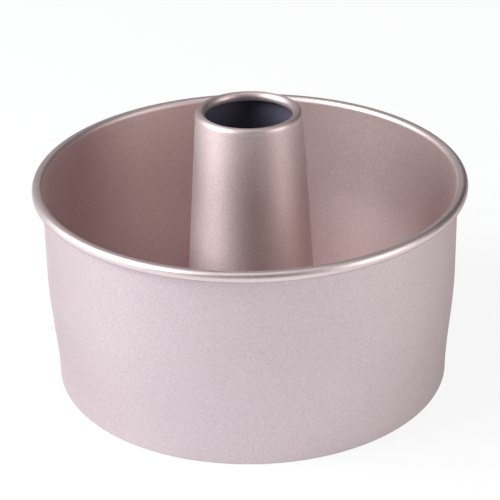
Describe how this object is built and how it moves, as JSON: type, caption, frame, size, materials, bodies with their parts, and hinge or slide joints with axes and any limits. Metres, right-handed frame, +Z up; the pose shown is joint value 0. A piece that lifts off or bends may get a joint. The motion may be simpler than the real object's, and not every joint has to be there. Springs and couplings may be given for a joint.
{
  "type": "angel food cake pan",
  "caption": "Round two-part cake pan with a rolled rim and a lift-out base that carries a tapered center tube, in champagne-coated steel.",
  "frame": {"origin": "middle of the pan's foot, on the table", "axes": "+Z up along the axis of the tube and the ring; the pan is round, so +X and +Y are free"},
  "size_m": [0.2108, 0.2108, 0.1375],
  "materials": {
    "champagne_coat": "satin metallic non-stick coating on carbon steel sheet",
    "rim_steel": "bare drawn steel wire"
  },
  "bodies": {
    "ring": {"outer_ring": "champagne_coat", "rim_wire": "rim_steel"},
    "base": {"base_plate": "champagne_coat", "center_tube": "champagne_coat"}
  },
  "joints": [
    {"name": "base_lift", "type": "slide", "parent": "ring", "child": "base", "axis": [0, 0, 1], "range_m": [0, 0.12]}
  ]
}
